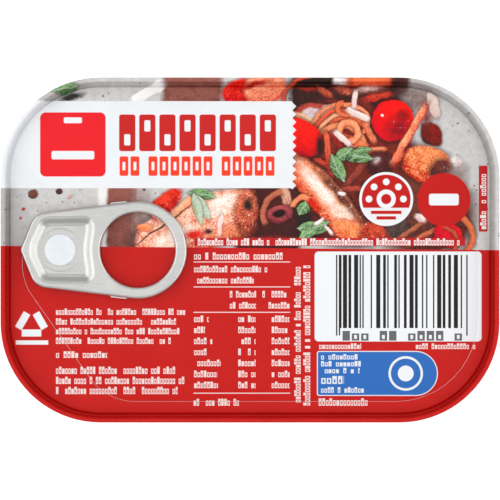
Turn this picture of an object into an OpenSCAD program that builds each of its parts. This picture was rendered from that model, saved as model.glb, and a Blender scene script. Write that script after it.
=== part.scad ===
// Shallow oblong fish tin with an easy-open end: a drawn aluminium body, a
// printed lid double-seamed onto it, and a ring-pull tab held by the lid's rivet.
// +X is along the can with the tab at -X, +Z is up, and the origin is the middle
// of the underside. All sizes are in millimetres.

/* [Can] */
// Length over the seam
can_length = 107; // [96:1:120]
// Width over the seam
can_width = 74; // [64:1:90]
// Height from the table to the top of the seam
can_height = 22; // [17:0.5:40]
// Radius of the seam's outer corners
corner_r = 21.4; // [18:0.2:28]
// Thickness of the aluminium sheet
sheet_t = 0.22; // [0.18:0.01:0.3]

/* [Seam and countersink] */
// Thickness of the double seam, across the rim
seam_t = 1.1; // [1:0.05:1.4]
// Height of the double seam
seam_h = 2.8; // [2.4:0.1:3.1]
// How far the seam stands out past the body wall
seam_overhang = 0.6; // [0.5:0.05:0.65]
// Depth from the seam's top to the bottom of the countersink groove
countersink_depth = 3.8; // [3.5:0.1:4.4]
// Width of the countersink groove
countersink_w = 0.9; // [0.8:0.05:1.2]
// Depth from the seam's top to the lid's panel
panel_depth = 2.7; // [2.5:0.1:2.8]

/* [Base] */
// Radius of the edge between wall and base
base_r = 2.5; // [1:0.25:4]
// Width of the flat ring that the can stands on
foot_w = 2; // [1:0.25:3]
// How far the base panel is raised inside that ring
base_recess = 0.8; // [0.4:0.1:1.5]

/* [Rivet] */
// Distance from the end of the can to the rivet's centre
rivet_inset = 12.7; // [12:0.1:14]
// Radius of the rivet's flattened head
rivet_head_r = 3.3; // [2.8:0.1:3.8]
// Height of that head above the tab's floor
rivet_head_h = 0.6; // [0.4:0.05:0.8]
// Radius of the round on the head's edge
rivet_edge_r = 0.3; // [0.1:0.05:0.4]
// Radius of the rivet's stem
rivet_stem_r = 2.2; // [1.6:0.1:2.4]
// Radius of the raised pad round the stem, which the tab rests on
pad_r = 4.4; // [3.5:0.1:4.8]
// Height of that pad, which is the tab's height above the panel
pad_h = 0.45; // [0.3:0.05:0.6]
// Clearance all round between the stem and its hole in the tab
rivet_clearance = 0.05; // [0.02:0.01:0.1]

/* [Pull tab] */
// Thickness of the tab over its curled edges
tab_t = 1.65; // [1.4:0.05:1.8]
// Distance from the rivet to the middle of the finger ring
ring_reach = 16.8; // [15.5:0.1:18]
// Radius of the finger hole
finger_r = 8.17; // [7.5:0.01:8.5]
// Width of the ring's curled bar, from the finger hole to the tab's outer edge
ring_bar_w = 2.33; // [1.8:0.01:2.8]
// Distance from the rivet to the tip of the nose
nose_reach = 8.5; // [8.2:0.1:9]
// Radius of the nose's tip
nose_r = 1.1; // [0.8:0.1:1.6]
// Radius of the two shoulders beside the rivet
shoulder_r = 3.7; // [3:0.1:4]
// Distance from the tab's middle line to the middle of each shoulder
shoulder_y = 4.4; // [4:0.1:5]
// Distance from the rivet to the shoulders, towards the nose
shoulder_x = 2.4; // [2:0.1:3]
// How far the round of a curled edge runs in, seen from above
edge_inset = 0.45; // [0.2:0.05:0.5]
// How far the round of a curled edge runs up, seen from the side
edge_rise = 0.6; // [0.4:0.05:0.65]
// Width of the recessed pan's opening across the tab
pan_w = 14.2; // [13:0.1:14.6]
// Radius of the pan's corners
pan_corner_r = 2.6; // [2:0.1:3]
// How far the pan's walls run in on their way down
pan_slope = 1.6; // [1:0.1:1.8]
// How much further the middle of the pan's front reaches than its corners
pan_point = 1.8; // [1:0.1:2.4]
// Width of the tab's edge in front of the pan, at the nose
nose_edge_w = 1.8; // [1.5:0.1:2.4]
// Width of the bridge between the pan and the finger hole
bridge_w = 0.9; // [0.8:0.05:1.4]
// Thickness of the pan's floor
pan_floor_t = 0.35; // [0.25:0.05:0.5]

/* [Hidden] */
$fn = 64;
seam_shoulder_r = 0.45;
seam_edge_r = 0.2;
chuck_wall_lean = 0.1;
panel_bend_r = 0.25;
past_face = 0.5;

panel_z = can_height - panel_depth;
groove_z = can_height - countersink_depth;
seam_base_z = can_height - seam_h;

// Distances in from the seam's outer face
groove_in = seam_t + chuck_wall_lean;
groove_out = groove_in + countersink_w;
groove_centre = [groove_in + countersink_w / 2, groove_z + countersink_w / 2];
panel_in = groove_out + panel_bend_r;
foot_in = seam_overhang + base_r;
base_in = foot_in + foot_w + base_recess;
rim_in = base_in + 1;

rivet_x = rivet_inset - can_length / 2;
rivet_head_z = pad_h + pan_floor_t;
tab_z = panel_z + pad_h;
ring_r = finger_r + ring_bar_w;
pan_front = nose_reach - nose_edge_w;
pan_back = ring_reach - finger_r - bridge_w;

// Points along an arc about c, from angle a0 to angle a1
function arc(c, r, a0, a1, steps = 6) =
    [for (i = [0 : steps]) let (a = a0 + (a1 - a0) * i / steps) c + r * [cos(a), sin(a)]];

// The lid's underside, from the seam's lower edge round the groove to the panel.
// Here and below, x is the distance in from the seam's outer face and y is height.
function lid_underside() = concat(
    [[seam_t - sheet_t, seam_base_z]],
    arc(groove_centre, countersink_w / 2 + sheet_t, 180, 360, 8),
    [[groove_out + sheet_t, panel_z - sheet_t]]
);

// The lid's upper side, from the panel round the groove, over the seam and down
function lid_upperside() = concat(
    arc([panel_in, panel_z - panel_bend_r], panel_bend_r, 90, 180, 3),
    arc(groove_centre, countersink_w / 2, 360, 180, 8),
    arc([seam_t - seam_shoulder_r, can_height - seam_shoulder_r], seam_shoulder_r, 0, 90, 4),
    arc([seam_shoulder_r, can_height - seam_shoulder_r], seam_shoulder_r, 90, 180, 4),
    arc([seam_edge_r, seam_base_z + seam_edge_r], seam_edge_r, 180, 270, 3)
);

// Carries a section once round the can, along straight sides and round corners
module rim() {
    for (quarter = [0 : 3])
        translate([
            (quarter == 0 || quarter == 3 ? 1 : -1) * (can_length / 2 - corner_r),
            (quarter < 2 ? 1 : -1) * (can_width / 2 - corner_r),
            0
        ])
            rotate(90 * quarter) {
                rotate_extrude(angle = 90)
                    translate([corner_r, 0]) mirror([1, 0]) children();
                rotate([90, 0, 0])
                    linear_extrude((quarter % 2 == 0 ? can_width : can_length) - 2 * corner_r)
                        translate([corner_r, 0]) mirror([1, 0]) children();
            }
}

// A plate with rounded corners that stays a given distance inside the can's outline
module plate(inset, z_low, z_high) {
    length = can_length - 2 * inset;
    width = can_width - 2 * inset;
    corner = corner_r - inset;
    height = z_high - z_low;
    translate([0, 0, z_low]) {
        translate([-length / 2 + corner, -width / 2, 0])
            cube([length - 2 * corner, width, height]);
        translate([-length / 2, -width / 2 + corner, 0])
            cube([length, width - 2 * corner, height]);
        for (x = [-1, 1], y = [-1, 1])
            translate([x * (length / 2 - corner), y * (width / 2 - corner), 0])
                cylinder(r = corner, h = height);
    }
}

// The drawn body with its contents, filled up to the lid: wall, rounded base edge,
// standing ring and raised base panel
module can_body() {
    color("silver") {
        rim()
            polygon(concat(
                [[seam_overhang, seam_base_z]],
                lid_underside(),
                [
                    [rim_in, panel_z - sheet_t],
                    [rim_in, base_recess],
                    [base_in, base_recess],
                    [foot_in + foot_w, 0],
                ],
                arc([foot_in, base_r], base_r, 270, 180)
            ));
        plate(rim_in, base_recess, panel_z - sheet_t);
    }
}

// The rivet, drawn up out of the lid: pad, stem and the head that holds the tab
module rivet() {
    translate([rivet_x, 0, panel_z])
        rotate_extrude()
            polygon(concat(
                [
                    [0, -sheet_t],
                    [pad_r, -sheet_t],
                    [pad_r, 0],
                    [pad_r - pad_h / 2, pad_h],
                    [rivet_stem_r, pad_h],
                    [rivet_stem_r, rivet_head_z],
                    [rivet_head_r - rivet_edge_r / 2, rivet_head_z],
                    [rivet_head_r, rivet_head_z + rivet_edge_r / 2],
                ],
                arc([rivet_head_r - rivet_edge_r, rivet_head_z + rivet_head_h - rivet_edge_r],
                    rivet_edge_r, 0, 90, 4),
                [[0, rivet_head_z + rivet_head_h]]
            ));
}

// The printed lid: double seam, chuck wall, countersink groove, panel and rivet
module can_end() {
    color("firebrick") {
        rim()
            polygon(concat(
                lid_underside(),
                [[rim_in, panel_z - sheet_t], [rim_in, panel_z]],
                lid_upperside()
            ));
        plate(rim_in, panel_z - sheet_t, panel_z);
        rivet();
    }
}

// The section of a curled edge, from the tab's underside to its top: each point is
// the distance in from the edge and the height
function curl() = concat(
    [for (a = [0 : 45 : 90]) [edge_inset * (1 - sin(a)), edge_rise * (1 - cos(a))]],
    [for (a = [90 : -45 : 0]) [edge_inset * (1 - sin(a)), tab_t - edge_rise * (1 - cos(a))]]
);

// A disc as thick as the tab, with its edge curled round
module curled_disc(r) {
    rotate_extrude()
        polygon(concat([[0, 0]], [for (point = curl()) [r - point[0], point[1]]], [[0, tab_t]]));
}

// The tab before it is cut: the blank spanned by its ring, two shoulders and nose
module tab_blank() {
    $fn = 72;
    hull() {
        translate([ring_reach, 0, 0]) curled_disc(ring_r);
        for (side = [-1, 1])
            translate([-shoulder_x, side * shoulder_y, 0]) curled_disc(shoulder_r);
        translate([nose_r - nose_reach, 0, 0]) curled_disc(nose_r);
    }
}

// One corner of the pan: a cone from the pan's floor to past the tab's top
module pan_corner() {
    height = tab_t - pan_floor_t;
    cylinder(
        h = height + past_face,
        r1 = pan_corner_r - pan_slope,
        r2 = pan_corner_r + pan_slope * past_face / height
    );
}

// The space inside the pan, wider at the top than at its floor: two corners towards
// the ring, two where the front starts to narrow, and one at the front
module pan_space() {
    $fn = 32;
    side_y = pan_w / 2 - pan_corner_r;
    front_x = pan_corner_r - pan_front;
    translate([0, 0, pan_floor_t])
        hull() {
            for (side = [-1, 1]) {
                translate([pan_back - pan_corner_r, side * side_y, 0]) pan_corner();
                translate([front_x + pan_point, side * side_y, 0]) pan_corner();
            }
            translate([front_x, 0, 0]) pan_corner();
        }
}

// The finger hole, with its edges rounded by the curl
module finger_space() {
    mouth_r = finger_r + edge_inset;
    translate([ring_reach, 0, 0])
        rotate_extrude()
            polygon(concat(
                [[0, -past_face], [mouth_r, -past_face]],
                [for (point = curl()) [finger_r + point[0], point[1]]],
                [[mouth_r, tab_t + past_face], [0, tab_t + past_face]]
            ));
}

// The ring-pull tab: curled edges, finger ring, and a pan round the rivet
module pull_tab() {
    color("gainsboro")
        translate([rivet_x, 0, tab_z])
            difference() {
                tab_blank();
                pan_space();
                finger_space();
                translate([0, 0, -past_face])
                    cylinder(r = rivet_stem_r + rivet_clearance, h = pan_floor_t + 2 * past_face);
            }
}

can_body();
can_end();
pull_tab();
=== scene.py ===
import math

import bmesh
import bpy
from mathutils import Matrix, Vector


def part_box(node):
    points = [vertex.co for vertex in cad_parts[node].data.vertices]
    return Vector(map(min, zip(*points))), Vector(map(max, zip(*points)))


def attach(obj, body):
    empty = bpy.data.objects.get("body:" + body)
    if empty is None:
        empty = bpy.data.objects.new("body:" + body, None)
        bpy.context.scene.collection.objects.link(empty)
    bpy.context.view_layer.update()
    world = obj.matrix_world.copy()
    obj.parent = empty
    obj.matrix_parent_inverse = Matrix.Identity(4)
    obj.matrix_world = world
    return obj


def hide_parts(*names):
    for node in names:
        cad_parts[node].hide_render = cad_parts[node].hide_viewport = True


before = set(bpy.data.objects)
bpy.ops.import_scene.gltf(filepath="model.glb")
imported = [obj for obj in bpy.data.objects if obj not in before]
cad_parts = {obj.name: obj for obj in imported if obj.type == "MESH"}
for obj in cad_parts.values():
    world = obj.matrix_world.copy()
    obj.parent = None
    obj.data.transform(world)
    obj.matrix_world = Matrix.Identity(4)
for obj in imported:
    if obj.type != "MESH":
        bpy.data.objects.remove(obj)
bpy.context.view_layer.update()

# Tin body: one shallow can drawn from lacquered aluminium sheet, with its end
# panel raised inside a standing ring. It is closed here by the lid's underside,
# because the full tin is one solid.
MM = 0.001
body_low, body_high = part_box("can_body")
lid_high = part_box("can_end")[1]
RIM_TOP = lid_high[2]
SEAM_CORNER = 21.4 * MM
CORNER_STEPS = 20
SEAM_OVERHANG = lid_high[0] - body_high[0]
BODY_TOP = RIM_TOP - 2.3 * MM


def rounded_block(name, half_x, half_y, low, high, corner, steps):
    """A block at its place in the can, with its four upright edges rounded."""
    bpy.ops.object.select_all(action="DESELECT")
    bpy.ops.mesh.primitive_cube_add(size=1, location=(0, 0, (low + high) / 2))
    piece = bpy.context.object
    piece.name = name
    piece.data.name = name
    bpy.ops.transform.resize(value=(2 * half_x, 2 * half_y, high - low))
    bpy.ops.object.transform_apply(location=True, rotation=True, scale=True)
    bpy.ops.object.mode_set(mode="EDIT")
    pick(piece, "EDGE", lambda edge: abs(edge.verts[0].co.z - edge.verts[1].co.z) > MM)
    bpy.ops.mesh.bevel(offset=corner, segments=steps, profile=0.5, clamp_overlap=False)
    return piece


def pick(piece, kind, test):
    """Selects only those vertices, edges or faces of a piece for which test is true."""
    bpy.ops.mesh.select_mode(type=kind)
    bpy.ops.mesh.select_all(action="DESELECT")
    mesh = bmesh.from_edit_mesh(piece.data)
    mesh.normal_update()
    parts = {"VERT": mesh.verts, "EDGE": mesh.edges, "FACE": mesh.faces}[kind]
    for part in parts:
        if test(part):
            part.select_set(True)
    mesh.select_flush_mode()
    bmesh.update_edit_mesh(piece.data)


def step_in(piece, facing_up, steps):
    """Insets the flat end of a block again and again: each step is the distance in
    and the distance up or down from the last, both in millimetres."""
    level = [face.calc_center_median().z for face in bmesh.from_edit_mesh(piece.data).faces]
    level = max(level) if facing_up else min(level)
    way = 1 if facing_up else -1
    pick(piece, "FACE", lambda face: abs(face.calc_center_median().z - level) < 1e-6
         and face.normal.z * way > 0.9)
    for across, up in steps:
        bpy.ops.mesh.inset(thickness=across * MM, depth=way * up * MM, use_even_offset=True)


def close_piece(piece, smooth_angle):
    """Merges doubles, turns the faces outwards and leaves edit mode."""
    bpy.ops.mesh.select_mode(type="VERT")
    bpy.ops.mesh.select_all(action="SELECT")
    bpy.ops.mesh.remove_doubles(threshold=1e-6)
    bpy.ops.mesh.normals_make_consistent(inside=False)
    bpy.ops.object.mode_set(mode="OBJECT")
    bpy.ops.object.shade_smooth_by_angle(angle=math.radians(smooth_angle))


def ink(red, green, blue):
    """A printed or painted colour, from the 0 to 255 numbers of a colour card."""
    shares = [((n / 255 + 0.055) / 1.055) ** 2.4 if n > 10 else n / 3295 for n in (red, green, blue)]
    return shares + [1.0]


def new_material(name):
    """An empty material: its tree and its Principled shader."""
    material = bpy.data.materials.new(name)
    material.use_nodes = True
    tree = material.node_tree
    return material, tree, tree.nodes["Principled BSDF"]


def feed(tree, socket, value):
    """Gives a socket a value, or links another node's output to it."""
    if isinstance(value, bpy.types.NodeSocket):
        tree.links.new(value, socket)
    else:
        socket.default_value = value


def maths(tree, operation, *values, clamp=False):
    """A Math node and its result."""
    step = tree.nodes.new("ShaderNodeMath")
    step.operation = operation
    step.use_clamp = clamp
    for socket, value in zip(step.inputs, values):
        feed(tree, socket, value)
    return step.outputs[0]


def vector(tree, operation, *values):
    """A Vector Math node and its result."""
    step = tree.nodes.new("ShaderNodeVectorMath")
    step.operation = operation
    for socket, value in zip(step.inputs, values):
        feed(tree, socket, value)
    return step.outputs["Value" if operation == "LENGTH" else "Vector"]


def spread(tree, value, start, end, low=0.0, high=1.0, smooth=False):
    """Maps start..end to low..high, and stops there."""
    step = tree.nodes.new("ShaderNodeMapRange")
    step.interpolation_type = "SMOOTHSTEP" if smooth else "LINEAR"
    for socket, given in zip(step.inputs, (value, start, end, low, high)):
        feed(tree, socket, given)
    return step.outputs[0]


def blend_colours(tree, factor, first, second):
    """A colour Mix node and its result."""
    step = tree.nodes.new("ShaderNodeMix")
    step.data_type = "RGBA"
    feed(tree, step.inputs[0], factor)
    feed(tree, step.inputs[6], first)
    feed(tree, step.inputs[7], second)
    return step.outputs[2]


def noise(tree, point, scale, detail=2.0, colour=False):
    """A Noise Texture and its value, or its colour."""
    step = tree.nodes.new("ShaderNodeTexNoise")
    feed(tree, step.inputs["Vector"], point)
    step.inputs["Scale"].default_value = scale
    step.inputs["Detail"].default_value = detail
    return step.outputs["Color" if colour else "Factor" if "Factor" in step.outputs else "Fac"]


def place_in_mm(tree, flat=True):
    """The place on the piece in millimetres, with no height if flat is true."""
    place = tree.nodes.new("ShaderNodeTexCoord").outputs["Object"]
    return vector(tree, "MULTIPLY", place, (1000.0, 1000.0, 0.0 if flat else 1000.0))


def new_group(name, inputs, outputs):
    """An empty node group, with its input and output nodes. Each input is a name,
    a kind and a value to start with; each output is a name and a kind."""
    group = bpy.data.node_groups.new(name, "ShaderNodeTree")
    kinds = {"value": "NodeSocketFloat", "colour": "NodeSocketColor", "vector": "NodeSocketVector"}
    for label, kind, start in inputs:
        socket = group.interface.new_socket(label, in_out="INPUT", socket_type=kinds[kind])
        socket.default_value = start
    for label, kind in outputs:
        group.interface.new_socket(label, in_out="OUTPUT", socket_type=kinds[kind])
    return group, group.nodes.new("NodeGroupInput").outputs, group.nodes.new("NodeGroupOutput").inputs


def use_group(tree, group, **values):
    """Places a group: each value goes to the input of that name. Returns its outputs."""
    step = tree.nodes.new("ShaderNodeGroup")
    step.node_tree = group
    for label, value in values.items():
        feed(tree, step.inputs[label.replace("_", " ").capitalize()], value)
    return step.outputs


def bump(tree, shader, height, distance, strength=1.0):
    """Feeds a height, in metres times distance, to a shader's normal."""
    step = tree.nodes.new("ShaderNodeBump")
    step.inputs["Strength"].default_value = strength
    step.inputs["Distance"].default_value = distance
    feed(tree, step.inputs["Height"], height)
    tree.links.new(step.outputs["Normal"], shader.inputs["Normal"])


def make_metal_lines_group():
    """Fine lines left in metal by the rolls or the drawing die, and faint blotches."""
    group, given, out = new_group(
        "Metal lines",
        [("Point", "vector", (0, 0, 0)), ("Stretch", "vector", (1, 1, 1)), ("Fineness", "value", 1.0)],
        [("Lines", "value"), ("Blotches", "value")],
    )
    stretched = vector(group, "MULTIPLY", given["Point"], given["Stretch"])
    scaled = vector(group, "SCALE", stretched)
    group.links.new(given["Fineness"], scaled.node.inputs["Scale"])
    feed(group, out["Lines"], noise(group, scaled, 1.0, 3.0))
    feed(group, out["Blotches"], noise(group, given["Point"], 0.12, 2.0))
    return group


metal_lines = make_metal_lines_group()


def make_metal(name, colour, dark, roughness, stretch, fineness, line_height):
    """Bare aluminium: rolled or drawn lines in its colour, gloss and surface."""
    material, tree, shader = new_material(name)
    point = place_in_mm(tree, flat=False)
    marks = use_group(tree, metal_lines, point=point, stretch=stretch, fineness=fineness)
    wear = maths(tree, "MULTIPLY_ADD", marks["Blotches"], 0.5, marks["Lines"])
    shade = spread(tree, wear, 0.55, 1.0)
    feed(tree, shader.inputs["Base Color"], blend_colours(tree, shade, colour, dark))
    shader.inputs["Metallic"].default_value = 1.0
    feed(tree, shader.inputs["Roughness"], spread(tree, wear, 0.5, 1.0, roughness - 0.05, roughness + 0.08))
    bump(tree, shader, marks["Lines"], line_height * MM)
    return material


body_metal = make_metal(
    "drawn aluminium", ink(196, 197, 198), ink(181, 182, 184), 0.34, (1, 1, 0.04), 6.0, 0.006
)

BASE_EDGE = 2.5 * MM
tin_body = rounded_block(
    "tin_body", body_high[0], body_high[1], body_low[2], BODY_TOP,
    SEAM_CORNER - SEAM_OVERHANG, CORNER_STEPS,
)
pick(tin_body, "EDGE", lambda edge: edge.verts[0].co.z < MM and edge.verts[1].co.z < MM)
bpy.ops.mesh.bevel(offset=BASE_EDGE, segments=8, profile=0.5, clamp_overlap=False)
step_in(tin_body, False, [
    (2.0, 0), (0.2, 0.06), (0.6, 0.68), (0.25, 0.06),
    (5.0, 0), (0.5, -0.18), (0.9, 0), (0.5, 0.18),
    (4.2, 0), (0.5, -0.18), (0.9, 0), (0.5, 0.18),
])
step_in(tin_body, True, [(0.3, 0), (0, -2.1), (3.6, 0)])
close_piece(tin_body, 40)
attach(tin_body, "root")
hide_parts("can_body")
tin_body.data.materials.append(body_metal)

# Lid: aluminium sheet, printed flat, then stamped with its countersink groove and
# score line and rolled onto the body in a double seam.
HALF_LENGTH = lid_high[0]
HALF_WIDTH = lid_high[1]
SEAM_HEIGHT = 2.8
SEAM_ROUND = 0.4


def arc_steps(radius_in, radius_up, start, end, count):
    """Steps along an arc whose angles, in degrees, run from start to end."""
    points = []
    for i in range(count + 1):
        angle = math.radians(start + (end - start) * i / count)
        points.append((radius_in * math.cos(angle), radius_up * math.sin(angle)))
    return [(b[0] - a[0], b[1] - a[1]) for a, b in zip(points, points[1:])]


tin_lid = rounded_block(
    "tin_lid", HALF_LENGTH, HALF_WIDTH, RIM_TOP - SEAM_HEIGHT * MM, RIM_TOP,
    SEAM_CORNER, CORNER_STEPS,
)
pick(tin_lid, "EDGE", lambda edge: min(v.co.z for v in edge.verts) > RIM_TOP - 1e-5)
bpy.ops.mesh.bevel(offset=SEAM_ROUND * MM, segments=5, profile=0.5, clamp_overlap=False)
step_in(tin_lid, False, [(0.8, 0), (0, -0.95), (1.4, 0), (0, 0.75)])
SEAM_STEPS = (
    [(0.15, 0)] + arc_steps(SEAM_ROUND, SEAM_ROUND, 90, 0, 5) + [(0.05, -2.65)]
    + arc_steps(-0.45, -0.45, 0, 180, 8) + [(0, 0.1)] + arc_steps(-0.25, 0.25, 0, 90, 4)
    + [(0.35, 0.05), (0.6, 0.05), (1.0, 0)]
)
step_in(tin_lid, True, SEAM_STEPS)
bpy.ops.mesh.delete(type="FACE")

SCORE_CORNERS = [
    (-49.0, 6.8, 3.2), (-30.9, 32.6, 5.7), (48.9, 32.6, 17.5),
    (48.9, -32.6, 17.5), (-30.9, -32.6, 5.7), (-49.0, -6.8, 3.2),
]
SCORE_HALF = 0.03
SCORE_DEPTH = 0.012
SCORE_Z = RIM_TOP - 2.6 * MM
bpy.ops.mesh.primitive_circle_add(vertices=len(SCORE_CORNERS), radius=5 * MM, location=(0, 0, SCORE_Z))
loose_ends = [v.co.copy() for v in bmesh.from_edit_mesh(tin_lid.data).verts if not v.link_faces]
for loose_end, (x, y, tangent) in zip(loose_ends, SCORE_CORNERS):
    pick(tin_lid, "VERT", lambda v: not v.link_faces and (v.co - loose_end).length < 1e-7)
    bpy.ops.transform.translate(value=Vector((x * MM, y * MM, SCORE_Z)) - loose_end)
for x, y, tangent in SCORE_CORNERS:
    pick(tin_lid, "VERT", lambda v: abs(v.co.x - x * MM) + abs(v.co.y - y * MM) < 1e-6)
    bpy.ops.mesh.bevel(
        offset=tangent * MM, segments=12, profile=0.5, affect="VERTICES", clamp_overlap=False
    )
pick(tin_lid, "EDGE", lambda edge: not edge.link_faces)
bpy.ops.mesh.edge_face_add()
pick(tin_lid, "FACE", lambda face: len(face.verts) > 60
     and face.calc_center_median().z > SCORE_Z - 1e-5)
if [f for f in bmesh.from_edit_mesh(tin_lid.data).faces if f.select][0].normal.z < 0:
    bpy.ops.mesh.flip_normals()
bpy.ops.mesh.inset(thickness=SCORE_HALF * MM, depth=-SCORE_DEPTH * MM)
bpy.ops.mesh.inset(thickness=SCORE_HALF * MM, depth=SCORE_DEPTH * MM)
pick(tin_lid, "EDGE", lambda edge: len(edge.link_faces) == 1)
bpy.ops.mesh.fill(use_beauty=True)
close_piece(tin_lid, 30)
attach(tin_lid, "root")
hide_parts("can_end")

PRINTED_OVER = [("Under", "colour", (0, 0, 0, 1)), ("Point", "vector", (0, 0, 0))]
PLACED = PRINTED_OVER + [("Centre", "vector", (0, 0, 0)), ("Turn", "value", 0.0)]
SHADED = [("Grain", "value", 0.0), ("Light", "colour", (1, 1, 1, 1)), ("Dark", "colour", (0, 0, 0, 1))]


def make_ink_mark_group():
    """A crisp printed shape with rounded corners: a bar, a block or a disc."""
    group, given, out = new_group(
        "Ink mark",
        PLACED + [("Ink", "colour", (1, 1, 1, 1)), ("Half", "vector", (1, 1, 1)),
                  ("Corner", "value", 0.1), ("Soft", "value", 0.06)],
        [("Colour", "colour")],
    )
    turned = turn_about(group, given)
    inner = vector(group, "SUBTRACT", given["Half"], given["Corner"])
    beyond = vector(group, "SUBTRACT", vector(group, "ABSOLUTE", turned), inner)
    distance = vector(group, "LENGTH", vector(group, "MAXIMUM", beyond, (0, 0, 0)))
    edge = maths(group, "SUBTRACT", distance, given["Corner"])
    mask = spread(group, edge, given["Soft"], times(group, given["Soft"], -1.0))
    feed(group, out["Colour"], blend_colours(group, mask, given["Under"], given["Ink"]))
    return group


def times(tree, first, *others):
    """Values multiplied together."""
    for other in others:
        first = maths(tree, "MULTIPLY", first, other)
    return first


def parts_of(tree, place):
    """The x, y and z of a place."""
    step = tree.nodes.new("ShaderNodeSeparateXYZ")
    feed(tree, step.inputs[0], place)
    return step.outputs


def chance_at(tree, x, y, z):
    """White noise that always gives the same for the same x, y and z."""
    place = tree.nodes.new("ShaderNodeCombineXYZ")
    for socket, value in zip(place.inputs, (x, y, z)):
        feed(tree, socket, value)
    step = tree.nodes.new("ShaderNodeTexWhiteNoise")
    feed(tree, step.inputs["Vector"], place.outputs[0])
    return step.outputs


def after_under(group, given):
    """The point, tied by a hair's breadth to the colour under this mark, so that the
    renderer works out one mark at a time however many there are."""
    return vector(group, "MULTIPLY_ADD", given["Under"], (1e-7, 1e-7, 0), given["Point"])


def turn_about(group, given):
    """The point as seen from a mark's centre, turned the way that the mark lies."""
    step = group.nodes.new("ShaderNodeVectorRotate")
    step.rotation_type = "Z_AXIS"
    feed(group, step.inputs["Vector"], after_under(group, given))
    feed(group, step.inputs["Center"], given["Centre"])
    feed(group, step.inputs["Angle"], times(group, given["Turn"], -math.pi / 180))
    from_centre = vector(group, "SUBTRACT", step.outputs["Vector"], given["Centre"])
    return vector(group, "MULTIPLY", from_centre, (1, 1, 0))


def make_food_piece_group():
    """One piece of the printed dish: lit on one side, darker on the other and at
    its edge, mottled by a grain, with a soft shadow on what lies under it."""
    group, given, out = new_group(
        "Food piece",
        PLACED + SHADED + [("Half", "vector", (1, 1, 1)), ("Squareness", "value", 2.0),
                           ("Soft", "value", 0.15), ("Shadow", "value", 0.5), ("Mottle", "value", 1.0)],
        [("Colour", "colour")],
    )
    x, y, z = parts_of(group, vector(group, "DIVIDE", turn_about(group, given), given["Half"]))
    power = given["Squareness"]
    across = maths(group, "POWER", maths(group, "ABSOLUTE", x), power)
    along = maths(group, "POWER", maths(group, "ABSOLUTE", y), power)
    root = maths(group, "DIVIDE", 1.0, power)
    reach = maths(group, "POWER", maths(group, "ADD", across, along), root)
    half_x, half_y, half_z = parts_of(group, given["Half"])
    soft = maths(group, "DIVIDE", given["Soft"], maths(group, "MINIMUM", half_x, half_y))
    outer = maths(group, "ADD", 1.0, soft)
    mask = spread(group, reach, outer, maths(group, "SUBTRACT", 1.0, soft))
    side = maths(group, "MULTIPLY_ADD", y, -0.35, 0.32)
    rim = maths(group, "POWER", reach, 6.0)
    shade = maths(group, "MULTIPLY_ADD", rim, 0.35, side)
    shade = maths(group, "MULTIPLY_ADD", given["Grain"], given["Mottle"], shade, clamp=True)
    colour = blend_colours(group, shade, given["Light"], given["Dark"])
    speckle = times(group, given["Grain"], given["Mottle"])
    seared = spread(group, speckle, 0.6, 1.2, 0.0, 0.6)
    glossy = spread(group, speckle, -0.5, -1.0, 0.0, 0.8)
    colour = blend_colours(group, seared, colour, ink(84, 34, 24))
    colour = blend_colours(group, glossy, colour, ink(255, 246, 238))
    halo = times(group, spread(group, reach, 1.3, 0.95, smooth=True), given["Shadow"])
    ground = blend_colours(group, halo, given["Under"], ink(48, 26, 22))
    feed(group, out["Colour"], blend_colours(group, mask, ground, colour))
    return group


def make_noodle_group():
    """A curled noodle: part of a ring, rounded across its width."""
    group, given, out = new_group(
        "Noodle",
        PLACED + SHADED + [("Radius", "value", 1.0), ("Width", "value", 0.6), ("Reach", "value", 1.0)],
        [("Colour", "colour")],
    )
    turned = turn_about(group, given)
    x, y, z = parts_of(group, turned)
    off = maths(group, "SUBTRACT", vector(group, "LENGTH", turned), given["Radius"])
    across = maths(group, "DIVIDE", off, given["Width"])
    apart = maths(group, "ABSOLUTE", across)
    angle = maths(group, "ARCTAN2", maths(group, "ABSOLUTE", y), x)
    reach = times(group, given["Reach"], math.pi / 180)
    within = spread(group, maths(group, "SUBTRACT", angle, reach), 0.08, -0.08)
    body = times(group, spread(group, apart, 1.15, 0.85), within)
    shadow = times(group, spread(group, apart, 1.9, 1.0), times(group, within, 0.55))
    shade = maths(group, "MULTIPLY_ADD", maths(group, "POWER", apart, 2.0), 0.6, 0.1)
    shade = maths(group, "MULTIPLY_ADD", across, -0.2, shade)
    shade = maths(group, "MULTIPLY_ADD", given["Grain"], 0.5, shade, clamp=True)
    ground = blend_colours(group, shadow, given["Under"], ink(60, 30, 24))
    colour = blend_colours(group, shade, given["Light"], given["Dark"])
    feed(group, out["Colour"], blend_colours(group, body, ground, colour))
    return group


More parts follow.
